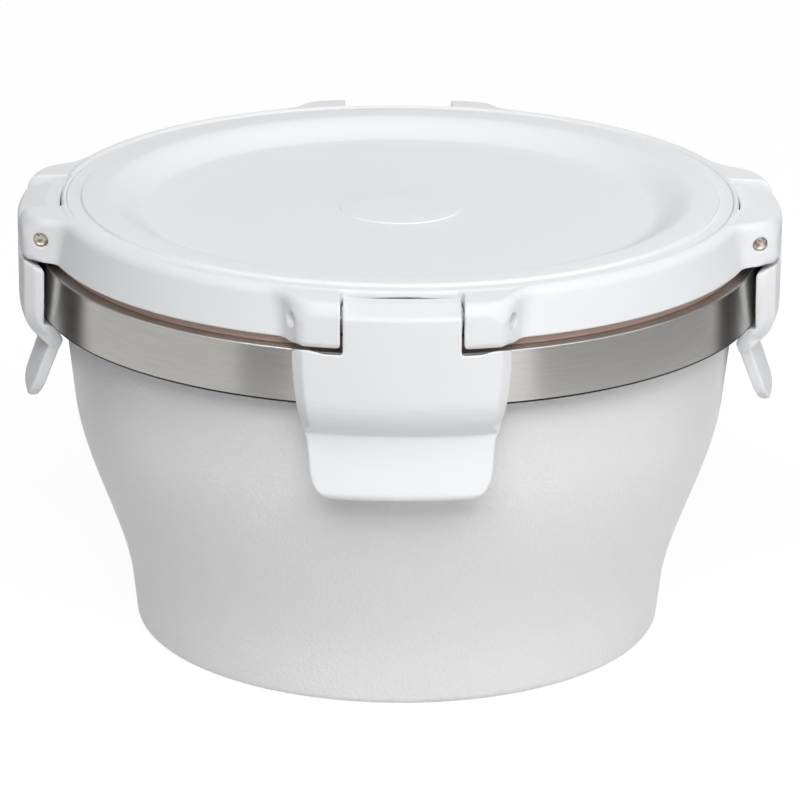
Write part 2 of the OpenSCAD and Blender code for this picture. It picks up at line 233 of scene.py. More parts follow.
def revolve(name: str, profile: Array, turns: int = 256, crease: float = 50.0) -> bpy.types.Object:
    """Turns an outline about the Z axis.

    The surface is a grid of two parameters, the place along the outline and the angle: x and y are the
    radius times the angle's cosine and sine, and z is the height. The outline runs clockwise, seen with the
    radius to the right and the height up, so that the faces point outwards. An outline that starts and ends
    on the axis gets a pole at each end, and any other is closed from its last point to its first.

    Args:
        name: The object's name.
        profile: Rows of radius and height in millimetres.
        turns: How many steps the circle has.
        crease: The angle in degrees above which an edge stays sharp.

    Returns:
        The new object.
    """
    poles = profile[0, 0] == 0.0 and profile[-1, 0] == 0.0
    rows = profile[1:-1] if poles else profile
    angle = np.linspace(0.0, 2.0 * math.pi, turns, endpoint=False)
    grid = np.stack([np.outer(np.cos(angle), rows[:, 0]), np.outer(np.sin(angle), rows[:, 0]),
                     np.broadcast_to(rows[:, 1], (turns, len(rows)))], axis=2)
    points = grid.reshape(-1, 3)
    if poles:
        points = np.concatenate([points, [[0.0, 0.0, profile[0, 1]], [0.0, 0.0, profile[-1, 1]]]])
    return make_object(name, points, ring_faces(turns, len(rows), bool(poles)), crease)


def surface_net(axes: Sequence[Array], place: Callable[..., Array], body: Callable[[Array], Array],
                wraps: bool = False, rounds: int = 4) -> tuple[Array, Array, Array]:
    """Finds the surface where a body's signed distance is nought.

    A grid of three parameters fills the body's box. Each cell that the surface passes through gets a point,
    the mean of the places where its edges cross the surface, and each crossed edge gets a face with the
    points of the four cells round it. The points then move along the distance's slope, by the distance over
    the slope squared, until they lie on the surface.

    Args:
        axes: The values of the three parameters, in right-handed order.
        place: Gives the points for three arrays of parameters, on a last axis of three.
        body: Gives the signed distance at points, negative inside.
        wraps: Whether the first parameter is an angle whose last step leads back to its first.
        rounds: How many steps the points take towards the surface.

    Returns:
        The points, the faces and the outward normals at the points.
    """
    spots = place(*np.meshgrid(*axes, indexing="ij"))
    value = body(spots)
    if wraps:
        spots = np.concatenate([spots, spots[:1]])
        value = np.concatenate([value, value[:1]])
    cells = tuple(n - 1 for n in value.shape)
    total, count = np.zeros(cells + (3,)), np.zeros(cells, int)
    crossings = []
    for axis in range(3):
        low = tuple(slice(None, -1) if k == axis else slice(None) for k in range(3))
        high = tuple(slice(1, None) if k == axis else slice(None) for k in range(3))
        a, b = value[low], value[high]
        crossed = (a < 0) != (b < 0)
        share = np.where(crossed, a / np.where(crossed, a - b, 1.0), 0.0)[..., None]
        meets = (spots[low] + share * (spots[high] - spots[low])) * crossed[..., None]
        crossings.append((crossed, a < 0))
        for step_b in (0, 1):
            for step_c in (0, 1):
                steps = {(axis + 1) % 3: step_b, (axis + 2) % 3: step_c}
                part = tuple(slice(None) if k == axis else slice(steps[k], steps[k] + cells[k])
                             for k in range(3))
                total += meets[part]
                count += crossed[part]
    used = count > 0
    number = np.full(cells, -1)
    number[used] = np.arange(used.sum())
    points = total[used] / count[used][:, None]
    faces = []
    for axis, (crossed, leaving) in enumerate(crossings):
        b, c = (axis + 1) % 3, (axis + 2) % 3
        if wraps and axis:
            last = tuple(slice(0, -1) if k == 0 else slice(None) for k in range(3))
            crossed, leaving = crossed[last], leaving[last]
        spot = np.argwhere(crossed)
        free = [k for k in (b, c) if not (wraps and k == 0)]
        spot = spot[np.all([(spot[:, k] > 0) & (spot[:, k] < cells[k]) for k in free], axis=0)]
        corner = []
        for step_b, step_c in ((1, 1), (0, 1), (0, 0), (1, 0)):
            cell = spot.copy()
            cell[:, b] -= step_b
            cell[:, c] -= step_c
            if wraps:
                cell[:, 0] %= cells[0]
            corner.append(number[tuple(cell.T)])
        quad = np.stack(corner, axis=1)
        out = leaving[tuple(spot.T)]
        faces.append(np.where(out[:, None], quad, quad[:, ::-1]))
    for _ in range(rounds):
        points, normal = onto_surface(points, body)
    return points, np.concatenate(faces), normal


def onto_surface(points: Array, body: Callable[[Array], Array], span: float = 0.02, reach: float = 0.3,
                 least: float = 0.25) -> tuple[Array, Array]:
    """Moves points towards a body's surface by one step of Newton's rule.

    Args:
        points: The points, one row each.
        body: Gives the signed distance at points.
        span: The distance over which the slope is taken.
        reach: The furthest that a point moves along the slope.
        least: The least square of the slope that is divided by.

    Returns:
        The moved points and the unit normals where they were.
    """
    value = body(points)
    slope = np.stack([(body(points + step) - body(points - step)) / (2 * span)
                      for step in np.eye(3) * span], axis=1)
    steep = np.maximum((slope ** 2).sum(axis=1), least)
    move = np.clip(value / steep, -reach, reach)
    return points - move[:, None] * slope, slope / np.sqrt(steep)[:, None]


def turned(points: Array, side: Side) -> Array:
    """Turns points about the Z axis from the +X side to another side.

    Args:
        points: The points, one row each.
        side: The side that they go to.

    Returns:
        The turned points.
    """
    a = math.radians(side.value)
    spin = np.array([[math.cos(a), math.sin(a), 0.0], [-math.sin(a), math.cos(a), 0.0], [0.0, 0.0, 1.0]])
    return points @ spin


# Colours and finishes


def linear(code: str) -> tuple[float, float, float, float]:
    """Turns an sRGB hex colour such as #ffffff to linear red, green, blue and alpha."""
    parts = [int(code[i:i + 2], 16) / 255 for i in (1, 3, 5)]
    return (*[c / 12.92 if c <= 0.04045 else ((c + 0.055) / 1.055) ** 2.4 for c in parts], 1.0)


def add_node(tree: bpy.types.NodeTree, kind: str, inputs: dict[Any, Any] | None = None,
             **settings: Any) -> Any:
    """Adds a node to a tree.

    Args:
        tree: The node tree.
        kind: The node's type.
        inputs: Values or output sockets for the inputs, by name or number.
        settings: Values of the node's own properties.

    Returns:
        The new node.
    """
    node = tree.nodes.new(kind)
    for key, value in settings.items():
        setattr(node, key, value)
    for key, value in (inputs or {}).items():
        if isinstance(value, bpy.types.NodeSocket):
            tree.links.new(value, node.inputs[key])
        else:
            node.inputs[key].default_value = value
    return node


def new_surface(name: str) -> tuple[bpy.types.Material, bpy.types.NodeTree]:
    """Makes a material with nothing in it.

    Args:
        name: The material's name.

    Returns:
        The material and its node tree.
    """
    material = bpy.data.materials.new(name)
    material.use_nodes = True
    material.node_tree.nodes.clear()
    return material, material.node_tree


def finished(material: bpy.types.Material, inputs: dict[Any, Any],
             kind: str = "ShaderNodeBsdfPrincipled") -> bpy.types.Material:
    """Closes a material with its shader.

    Args:
        material: The material.
        inputs: Values or output sockets for the shader's inputs, by name or number.
        kind: The shader node's type.

    Returns:
        The same material.
    """
    shader = add_node(material.node_tree, kind, inputs)
    add_node(material.node_tree, "ShaderNodeOutputMaterial", {0: shader.outputs[0]})
    return material


def grained(tree: bpy.types.NodeTree, size: Sequence[float], depth: float, detail: float = 2.0,
            roughness: float = 0.5) -> tuple[Any, Any]:
    """Adds a fine relief of noise that is fixed to the object.

    Args:
        tree: The node tree.
        size: The grain's size in millimetres along X, Y and Z.
        depth: The relief's depth in millimetres.
        detail: How many finer layers the noise has.
        roughness: How strong those layers are.

    Returns:
        The sockets that hold the noise and the normal of the relief.
    """
    spot = add_node(tree, "ShaderNodeTexCoord").outputs["Object"]
    per_grain = [1.0 / (s * MM) for s in size]
    place = add_node(tree, "ShaderNodeMapping", {"Vector": spot, "Scale": per_grain})
    noise = add_node(tree, "ShaderNodeTexNoise", {
        "Vector": place.outputs["Vector"], "Scale": 1.0, "Detail": detail, "Roughness": roughness})
    bump = add_node(tree, "ShaderNodeBump", {"Height": noise.outputs[0], "Strength": 1.0,
                                             "Distance": depth * MM})
    return noise.outputs[0], bump.outputs[0]


@dataclass(frozen=True)
class PowderCoat:
    """Matt powder coat on steel: it flows into a fine pebbled skin, so its gloss breaks up into specks."""

    name: str = "white_powder_coat_cured"
    colour: str = "#e9e9ea"
    roughness: float = 0.42
    ior: float = 1.5
    pebble: float = 0.7
    pebble_depth: float = 0.17
    pebble_roughness: float = 0.45

    def build(self) -> bpy.types.Material:
        """Builds the material, whose pebbles are drawn a little coarser than they are, so that they show.

        Returns:
            The material.
        """
        material, tree = new_surface(self.name)
        _, normal = grained(tree, [self.pebble] * 3, self.pebble_depth, roughness=self.pebble_roughness)
        return finished(material, {"Base Color": linear(self.colour), "Roughness": self.roughness,
                                   "IOR": self.ior, "Normal": normal})


@dataclass(frozen=True)
class MouldedPlastic:
    """White polypropylene from a fine matt mould: a faint, even sheen over a colour with a little depth."""

    name: str = "white_polypropylene_moulded"
    colour: str = "#ebecee"
    roughness: float = 0.7
    ior: float = 1.4
    grain: float = 0.35
    grain_depth: float = 0.003
    depth_share: float = 0.08
    depth_reach: float = 1.2

    def build(self) -> bpy.types.Material:
        """Builds the material, whose mould grain is drawn coarser than it is, so that it shows at all.

        Returns:
            The material.
        """
        material, tree = new_surface(self.name)
        _, normal = grained(tree, [self.grain] * 3, self.grain_depth, detail=1.0)
        return finished(material, {
            "Base Color": linear(self.colour), "Roughness": self.roughness, "IOR": self.ior,
            "Subsurface Weight": self.depth_share, "Subsurface Radius": (1.0, 1.0, 1.0),
            "Subsurface Scale": self.depth_reach * MM, "Normal": normal})


@dataclass(frozen=True)
class BrushedSteel:
    """Stainless steel brushed round its axis: fine level lines, which smear each reflection up and down."""

    name: str = "stainless_steel_brushed"
    colour: str = "#c6c4c1"
    roughness: float = 0.3
    line: float = 0.16
    line_depth: float = 0.0004
    streak_length: float = 9.0
    noise_span: tuple[float, float] = (0.25, 0.75)
    rough_span: tuple[float, float] = (-0.01, 0.02)
    tint_span: tuple[float, float] = (0.9, 1.02)
    smear: float = 0.85
    quarter_turn: float = 0.25

    def build(self) -> bpy.types.Material:
        """Builds the material, whose lines are drawn wider than a brush leaves them, so that they show.

        Returns:
            The material.
        """
        material, tree = new_surface(self.name)
        size = [self.streak_length, self.streak_length, self.line]
        lines, normal = grained(tree, size, self.line_depth, detail=1.0)
        low, high = self.noise_span
        rough = add_node(tree, "ShaderNodeMapRange", {
            "Value": lines, 1: low, 2: high,
            3: self.roughness + self.rough_span[0], 4: self.roughness + self.rough_span[1]})
        tint = add_node(tree, "ShaderNodeMapRange", {
            "Value": lines, 1: low, 2: high, 3: self.tint_span[0], 4: self.tint_span[1]})
        dark = add_node(tree, "ShaderNodeVectorMath", {0: linear(self.colour)[:3], "Scale": tint.outputs[0]},
                        operation="SCALE")
        around = add_node(tree, "ShaderNodeTangent", direction_type="RADIAL", axis="Z")
        return finished(material, {
            "Base Color": dark.outputs[0], "Metallic": 1.0, "Roughness": rough.outputs[0],
            "Anisotropic": self.smear, "Anisotropic Rotation": self.quarter_turn,
            "Tangent": around.outputs[0], "Normal": normal})


@dataclass(frozen=True)
class Silicone:
    """Moulded food-grade silicone: a dull skin that holds a little dust and shows no clear reflection."""

    name: str = "silicone_moulded"
    colour: str = "#c3a79b"
    roughness: float = 0.6
    ior: float = 1.41
    grain: float = 0.5
    grain_depth: float = 0.01

    def build(self) -> bpy.types.Material:
        """Builds the material.

        Returns:
            The material.
        """
        material, tree = new_surface(self.name)
        _, normal = grained(tree, [self.grain] * 3, self.grain_depth)
        return finished(material, {"Base Color": linear(self.colour), "Roughness": self.roughness,
                                   "IOR": self.ior, "Normal": normal})


@dataclass(frozen=True)
class CutSteel:
    """Bare steel wire, sheared to length: a brownish grey with darker and lighter flecks where it tore."""

    name: str = "steel_wire_sheared"
    dark: str = "#857b70"
    light: str = "#cdc3b7"
    roughness: float = 0.45
    fleck: float = 0.9
    fleck_depth: float = 0.03
    dark_below: float = 0.38
    light_above: float = 0.58

    def build(self) -> bpy.types.Material:
        """Builds the material.

        Returns:
            The material.
        """
        material, tree = new_surface(self.name)
        flecks, normal = grained(tree, [self.fleck] * 3, self.fleck_depth)
        ramp = add_node(tree, "ShaderNodeValToRGB", {"Fac": flecks})
        stops = ((self.dark_below, self.dark), (self.light_above, self.light))
        for stop, (level, colour) in zip(ramp.color_ramp.elements, stops):
            stop.position = level
            stop.color = linear(colour)
        return finished(material, {"Base Color": ramp.outputs[0], "Metallic": 1.0,
                                   "Roughness": self.roughness, "Normal": normal})


@dataclass(frozen=True)
class DullMetal:
    """Sintered or fused metal, with no polish: a dull, slightly grainy grey."""

    name: str = "metal_sintered"
    colour: str = "#77777a"
    roughness: float = 0.6
    grain: float = 0.3
    grain_depth: float = 0.02

    def build(self) -> bpy.types.Material:
        """Builds the material.

        Returns:
            The material.
        """
        material, tree = new_surface(self.name)
        _, normal = grained(tree, [self.grain] * 3, self.grain_depth)
        return finished(material, {"Base Color": linear(self.colour), "Metallic": 1.0,
                                   "Roughness": self.roughness, "Normal": normal})


@dataclass
class Palette:
    """The finishes, built once and shared by the pieces, each with the record's slot that it stands for."""

    def __post_init__(self) -> None:
        """Builds each finish."""
        self.by_slot = {
            "powder_coat": PowderCoat().build(),
            "liner_steel": BrushedSteel(name="stainless_steel_satin", line_depth=0.002).build(),
            "band_steel": BrushedSteel().build(),
            "seal_bead": DullMetal(name="glass_solder_fused", colour="#5a5a5d", roughness=0.5).build(),
            "getter_metal": DullMetal().build(),
            "lid_plastic": MouldedPlastic().build(),
            "latch_plastic": MouldedPlastic(name="white_polypropylene_latch").build(),
            "silicone": Silicone().build(),
            "pin_steel": CutSteel().build(),
        }
        # Painted shade: a near-black steel for the band's lower lip, which stands in for the shadowed gap
        # under the band's edge.
        self.painted_shade_edge = DullMetal(name="stainless_steel_sheared_edge", colour="#2e2e30",
                                   roughness=0.5).build()

    def dress(self, piece: bpy.types.Object, node: str) -> None:
        """Gives a piece its node's finish.

        Args:
            piece: The piece, which may be the node itself.
            node: The node that it stands for.
        """
        slots = {s["node"]: s["material_slot"] for s in frame["record"]["subparts"]}
        piece.data.materials.clear()
        piece.data.materials.append(self.by_slot[slots[node]])

    def stand_in(self, piece: bpy.types.Object, node: str, body: str) -> None:
        """Lets a piece replace its node and ride on the node's body, in the node's finish.

        Args:
            piece: The piece.
            node: The node that it replaces.
            body: The body that it rides on.
        """
        self.dress(piece, node)
        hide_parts(node)
        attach(piece, body)
        log.info("%s: %d faces", piece.name, len(piece.data.polygons))


# The bowl


@dataclass
class Bowl:
    """The double-wall steel bowl: shell, liner, rim band and the parts of its base."""

    palette: Palette
    mouth_r: float = 66.0
    sheet: float = 0.7
    vacuum_gap: float = 2.7
    band_z: float = 70.05
    wall_lean: float = 0.108
    swell: float = 7.3
    swell_low_z: float = 9.2
    swell_high_z: float = 49.9
    foot_round: float = 1.5
    floor_z: float = 9.0
    floor_round: float = 11.0
    foot_ring_w: float = 3.1
    base_recess: float = 1.9
    dimple_r: float = 7.0
    dimple_h: float = 1.2
    port_r: float = 1.5
    bead_r: float = 4.0
    band_h: float = 10.7
    band_proud: float = 4.8
    band_draft: float = 0.8
    band_t: float = 0.8
    band_lip: float = 0.1
    band_edge: float = 0.45
    weld: float = 0.02
    wall_rows: tuple[int, int] = (13, 61)

    def __post_init__(self) -> None:
        """Works out the radii and heights that follow from the others."""
        self.neck_r = self.mouth_r + 2 * self.sheet + self.vacuum_gap
        self.rim_z = self.band_z + self.band_h
        self.band_r = self.neck_r + self.band_proud
        self.foot_r = self.neck_r - self.band_z * self.wall_lean - self.swell
        self.ring_in_r = self.foot_r - self.foot_round - self.foot_ring_w

    def wall(self, inset: float, low: float, corner: float, top: float) -> Array:
        """Gives one face of the wall, from its floor up.

        The radius is the neck's, less the wall's lean below the band, less the swell times one minus an
        eased rise between two heights, less the inset. Near the floor it follows a circle of the corner's
        radius.

        Args:
            inset: How far the face lies inside the shell's outer face.
            low: The floor's height.
            corner: The radius between the floor and the wall.
            top: The height where the face ends.

        Returns:
            Rows of radius and height.
        """
        few, many = self.wall_rows
        bend = low + corner * (1.0 - np.cos(np.linspace(0.0, math.pi / 2, few)))
        z = np.concatenate([bend, np.linspace(low + corner, self.swell_high_z, many)[1:],
                            np.linspace(self.swell_high_z, top, few)[1:]])
        rise = eased((z - self.swell_low_z) / (self.swell_high_z - self.swell_low_z))
        reach = np.clip((low + corner - z) / corner, 0.0, 1.0)
        r = self.neck_r - np.maximum(self.band_z - z, 0.0) * self.wall_lean - self.swell * (1.0 - rise)
        return np.stack([r - inset - corner * (1.0 - np.sqrt(1.0 - reach ** 2)), z], axis=1)

    def shell(self) -> bpy.types.Object:
        """The coated shell: its wall's outer face, down to the foot ring, and the inner face back up.

        Returns:
            The shell.
        """
        top = self.rim_z - self.band_t - self.weld
        outer = self.wall(0.0, 0.0, self.foot_round, top)
        inner = self.wall(self.sheet, self.sheet, self.foot_round - self.sheet / 2, top)
        foot = [[self.ring_in_r, 0.0], [self.ring_in_r, self.sheet]]
        return revolve("shell_coated", np.concatenate([outer[::-1], foot, inner]))

    def liner(self) -> bpy.types.Object:
        """The steel bowl inside, from the middle of its floor up over its lip and down its back.

        Returns:
            The liner.
        """
        top = self.rim_z - self.band_t - self.weld
        back = self.wall(self.sheet + self.vacuum_gap, self.floor_z - self.sheet, self.floor_round, top)
        face = self.wall(2 * self.sheet + self.vacuum_gap, self.floor_z, self.floor_round, top)
        middle = [[0.0, self.floor_z]]
        under = [[0.0, self.floor_z - self.sheet]]
        return revolve("liner_steel", np.concatenate([middle, face, back[::-1], under]))

    def band(self) -> bpy.types.Object:
        """The rim's steel channel, with a rounded upper edge and a rolled lower lip.

        Returns:
            The band.
        """
        t, top_r = self.band_t, self.band_r - self.band_draft
        inner, low, lip = self.neck_r + self.weld, self.band_z - self.band_lip, self.band_r - t
        mouth_round, top_round = 0.45, 0.35
        weld_round, lip_round, fold = 0.3, 0.1, 0.2
        profile = rounded([
            (self.mouth_r, self.rim_z - t, 0.0), (self.mouth_r, self.rim_z, mouth_round),
            (top_r, self.rim_z, top_round), (self.band_r, low, self.band_edge), (lip, low, self.band_edge),
            (lip, self.band_z, lip_round), (inner, self.band_z, weld_round),
            (inner, self.band_z + t, 0.0), (lip, self.band_z + t, fold),
            (top_r - t, self.rim_z - t, fold)])
        return revolve("rim_band_brushed", profile, crease=60.0)

    def paint_shade_on_lip(self, band: bpy.types.Object) -> None:
        """Paints shade on the band's lower lip, below the top of its rounding: a near-black finish that
        stands in for the shadowed gap under the band's edge.

        Args:
            band: The band.
        """
        band.data.materials.append(self.palette.painted_shade_edge)
        count = len(band.data.polygons)
        middle = np.empty(count * 3)
        band.data.polygons.foreach_get("center", middle)
        low = middle.reshape(count, 3)[:, 2] < (self.band_z - self.band_lip + self.band_edge) * MM
        band.data.polygons.foreach_set("material_index", low.astype(np.int32))

    def base(self) -> bpy.types.Object:
        """The pressed base plate: a shallow cup with a dimple round the vacuum port.

        Returns:
            The plate.
        """
        r, low, high = self.ring_in_r - self.weld, self.base_recess, self.base_recess + self.sheet
        flat = self.dimple_r - self.dimple_h
        bend, outer_bend, cut = 0.8, 0.6, 0.2
        profile = rounded([
            (self.port_r, low + self.dimple_h, 0.0), (self.port_r, high + self.dimple_h, 0.0),
            (flat, high + self.dimple_h, bend), (self.dimple_r, high, bend), (r, high, outer_bend),
            (r, 0.0, cut), (r - self.sheet, 0.0, cut), (r - self.sheet, low, bend),
            (self.dimple_r, low, bend), (flat, low + self.dimple_h, bend)])
        return revolve("base_plate_coated", profile)

    def seal(self) -> bpy.types.Object:
        """The bead in the port: a low dome that wets the dimple's floor and fills the hole.

        Returns:
            The bead.
        """
        top = self.base_recess + self.dimple_h - self.weld
        depth, rows, turns = self.dimple_h / 2, 24, 96
        r = np.linspace(0.0, self.bead_r, rows)
        dome = np.stack([r, top - depth * np.sqrt(1.0 - (r / self.bead_r) ** 2)], axis=1)
        plug = [[self.port_r - self.weld, top], [self.port_r - self.weld, top + self.sheet],
                [0.0, top + self.sheet]]
        return revolve("port_bead", np.concatenate([dome, plug])[::-1], turns=turns)

    def build(self) -> None:
        """Builds the bowl's pieces in order."""
        makers = {"outer_shell": self.shell, "inner_liner": self.liner, "rim_band": self.band,
                  "base_plate": self.base, "port_seal": self.seal}
        for node, make in makers.items():
            piece = make()
            self.palette.stand_in(piece, node, "bowl")
            # The band's lower lip gets a painted shade finish for the shadowed gap under its edge.
            if node == "rim_band":
                self.paint_shade_on_lip(piece)
        for node in ("getter", "getter_clip"):
            self.palette.dress(frame["nodes"][node], node)


# The lid


@dataclass(frozen=True)
class FrameGrid:
    """The grid on which the lid's frame is found, with its places and steps.

    A quarter of it is coarse from a latch's middle to its ears, fine along the ears and coarse again up to
    half the way to the next latch. Those angles are in degrees. The other lengths are how far it reaches
    past the frame and its steps along the radius, within the seam and out from there.
    """

    ear_from: float = 8.0
    ear_to: float = 22.0
    half: float = 45.0
    fine: float = 0.28
    plain_steps: int = 18
    middle_steps: int = 12
    rows: int = 35
    below: float = 0.4
    above: float = 0.35
    inside: float = 0.3
    outside: float = 0.6
    before_seam: float = 0.8
    step_in: float = 0.55
    step_out: float = 0.33

    def angles(self) -> Array:
        """Gives the angles all round.

        Returns:
            The angles in radians.
        """
        ear = np.arange(self.ear_from, self.ear_to, self.fine)
        plain = np.linspace(self.half, self.ear_to, self.plain_steps, endpoint=False)
        beyond = np.linspace(self.ear_to, self.half, self.plain_steps, endpoint=False)
        middle = np.linspace(-self.ear_from, self.ear_from, self.middle_steps, endpoint=False)
        quarter = np.concatenate([-plain, -ear[::-1], middle[1:], ear, beyond])
        quarter = np.unique(np.round(quarter, 4))
        return np.radians(np.concatenate([quarter + turn for turn in (0, 90, 180, 270)]))


@dataclass
class Lid:
    """The lid's round pieces, its frame with four pairs of ears, and the hinge pins."""

    palette: Palette
    bowl: Bowl
    seal_gap: float = 2.0
    ring_h: float = 9.65
    ring_r: float = 73.4
    crest_r: float = 70.2
    crest_round: float = 2.0
    ring_edge: float = 0.35
    strip_rise: float = 0.5
    seam_r: float = 69.05
    panel_r: float = 66.0
    panel_step: float = 0.62
    dish_depth: float = 3.6
    dish_floor_r: float = 52.5
    dish_slope_w: float = 8.6
    disc_r: float = 12.5
    disc_h: float = 0.25
    cover_t: float = 1.8
    plug_r: float = 63.8
    plug_depth: float = 7.5
    flange_w: float = 3.0
    flange_t: float = 2.0
    seat_rise: float = 0.6
    skirt_t: float = 1.7
    seat_gap: float = 0.05
    ear_r: float = 79.2
    ear_w: float = 19.7
    ear_root_w: float = 23.2
    ear_flare: float = 0.9
    ear_top_flare: float = 1.5
    ear_corner: float = 1.0
    ear_top_corner: float = 3.4
    ear_drop: float = 0.35
    ear_fall: float = 0.04
    ear_top_round: float = 2.7
    ear_low_round: float = 1.5
    notch_r: float = 70.15
    notch_w: float = 11.74
    notch_fillet: float = 1.0
    notch_corner: float = 1.3
    pocket_r: float = 4.6
    lip_round: float = 0.55
    back_lip_round: float = 0.95
    hinge_r: float = 73.1
    hinge_z: float = 87.4
    pin_r: float = 1.5
    bore_gap: float = 0.02
    bore_round: float = 0.25
    flank_start: float = 1.0
    flank_w: float = 4.0
    drop_start: float = 0.6
    drop_w: float = 1.6
    corner_rise: float = 3.0
    low_round_r: float = 75.5
    low_round_w: float = 2.5
    seat_edge: float = 0.15
    blend_w: float = 1.5
    knurl_depth: float = 0.11
    knurl_teeth: int = 16
    grid: FrameGrid = FrameGrid()

    def __post_init__(self) -> None:
        """Works out the heights from the bowl's rim, and the plan of the ears' slanted sides."""
        self.ring_z = self.bowl.rim_z + self.seal_gap
        self.top_z = self.ring_z + self.ring_h
        self.seat_z = self.ring_z + self.seat_rise
        self.ledge_z = self.top_z - self.panel_step - self.cover_t
        self.root = np.array([math.sqrt(self.ring_r ** 2 - self.ear_root_w ** 2), self.ear_root_w])
        self.tip = np.array([math.sqrt(self.ear_r ** 2 - self.ear_w ** 2), self.ear_w])
        along = (self.tip - self.root) / np.linalg.norm(self.tip - self.root)
        self.away = np.array([-along[1], along[0]])

    def cover(self) -> bpy.types.Object:
        """The dished cover.

        From its middle out, the face is a plain disc that stands a little proud, a flat floor, an eased
        slope up to a flat rim, a small step down and a strip that rises to the seam. The back lies one
        wall thickness below.

        Returns:
            The cover.
        """
        floor, strip = self.top_z - self.dish_depth, self.top_z - self.panel_step
        edge, seat = self.seam_r - self.seat_gap, self.ledge_z + self.seat_gap
        slope_rows = 33
        r = self.dish_floor_r + self.dish_slope_w * np.linspace(0.0, 1.0, slope_rows)
        rise = floor + self.dish_depth * eased((r - self.dish_floor_r) / self.dish_slope_w)
        slope = np.stack([r, rise], axis=1)
        proud, far, draft, crest, foot = floor + self.disc_h, 5.0, 0.1, 0.2, 0.15
        disc = rounded([(-self.disc_r, floor - far, 0.0), (-self.disc_r, proud, crest),
                        (self.disc_r, proud, crest), (self.disc_r + draft, floor, foot),
                        (self.disc_r + far, floor, 0.0), (self.disc_r + far, floor - far, 0.0)])
        disc = disc[(disc[:, 0] > 0) & (disc[:, 1] > floor - far / 2)]
        flat_w, skirt_in, step_w = 2.0, 1.2, 0.15
        brow, hollow, lip, low_edge = 0.35, 0.25, 0.15, 0.1
        rim = rounded([(self.panel_r - flat_w, self.top_z, 0.0), (self.panel_r, self.top_z, brow),
                       (self.panel_r + step_w, strip, hollow), (edge, self.top_z - self.strip_rise, lip),
                       (edge, seat, low_edge), (self.panel_r - flat_w, self.ledge_z, 0.0)])
        rim = rim[1:-1]
        inner = [[self.panel_r - skirt_in, seat]]
        back = slope[::-1] - [0.0, self.cover_t]
        profile = np.concatenate([[[0.0, proud]], disc, slope, rim, inner, back,
                                  [[0.0, floor - self.cover_t]]])
        return revolve("lid_cover_moulded", profile, turns=320, crease=40.0)

    def plug(self) -> bpy.types.Object:
        """The plug below: a flat-bottomed cup with a bead that holds the gasket, and a flange on top.

        Returns:
            The plug.
        """
        low = self.ring_z - self.plug_depth
        flange = self.seat_z + self.flange_t + self.seat_gap
        wall, edge_gap, draft = 1.6, 0.15, 0.2
        inner, out = self.plug_r - wall, self.plug_r + self.flange_w - edge_gap
        bead_z, bead_half, bead_w = low + 1.7, 0.5, 0.85
        sharp, small, brow, hollow, foot = 0.1, 0.2, 0.3, 1.0, 0.9
        profile = rounded([
            (0.0, low + wall, 0.0), (inner, low + wall, hollow), (inner, flange + wall, small),
            (out, flange + wall, brow), (out, flange, sharp), (self.plug_r, flange, sharp),
            (self.plug_r, bead_z + bead_half, sharp), (self.plug_r + bead_w, bead_z, small),
            (self.plug_r, bead_z - bead_half, sharp), (self.plug_r - draft, low, foot), (0.0, low, 0.0)])
        return revolve("lid_plug_moulded", profile)

    def gasket(self) -> bpy.types.Object:
        """The seal: a flat ring on the rim, with two lips that reach down and out to the mouth.

        Returns:
            The gasket.
        """
        rest_gap, skirt_gap, mouth_gap = 0.02, 0.2, 0.25
        lip_reach, root_w = 3.1, 0.4
        top, rim = self.seat_z - self.seat_gap, self.bowl.rim_z + rest_gap
        inner, outer = self.plug_r + self.seat_gap, self.ring_r - self.skirt_t - skirt_gap
        lip_r, lip_z = self.bowl.mouth_r - mouth_gap, self.bowl.rim_z - lip_reach
        t = lip_r - inner
        sharp, tip, fold, edge = 0.1, 0.15, 0.2, 0.3
        profile = rounded([
            (inner, top, sharp), (outer, top, edge), (outer, rim, edge),
            (self.bowl.mouth_r + root_w, rim, fold), (lip_r - t / 3, rim - t / 3, fold),
            (lip_r, lip_z + 2 * t / 3, tip), (lip_r - t / 5, lip_z + t / 3, sharp),
            (inner + t / 3, lip_z + 2 * t / 3, fold), (inner + t / 3, lip_z + t / 5, sharp),
            (inner, lip_z + t / 5, sharp)], steps=4)
        return revolve("gasket_silicone", profile)

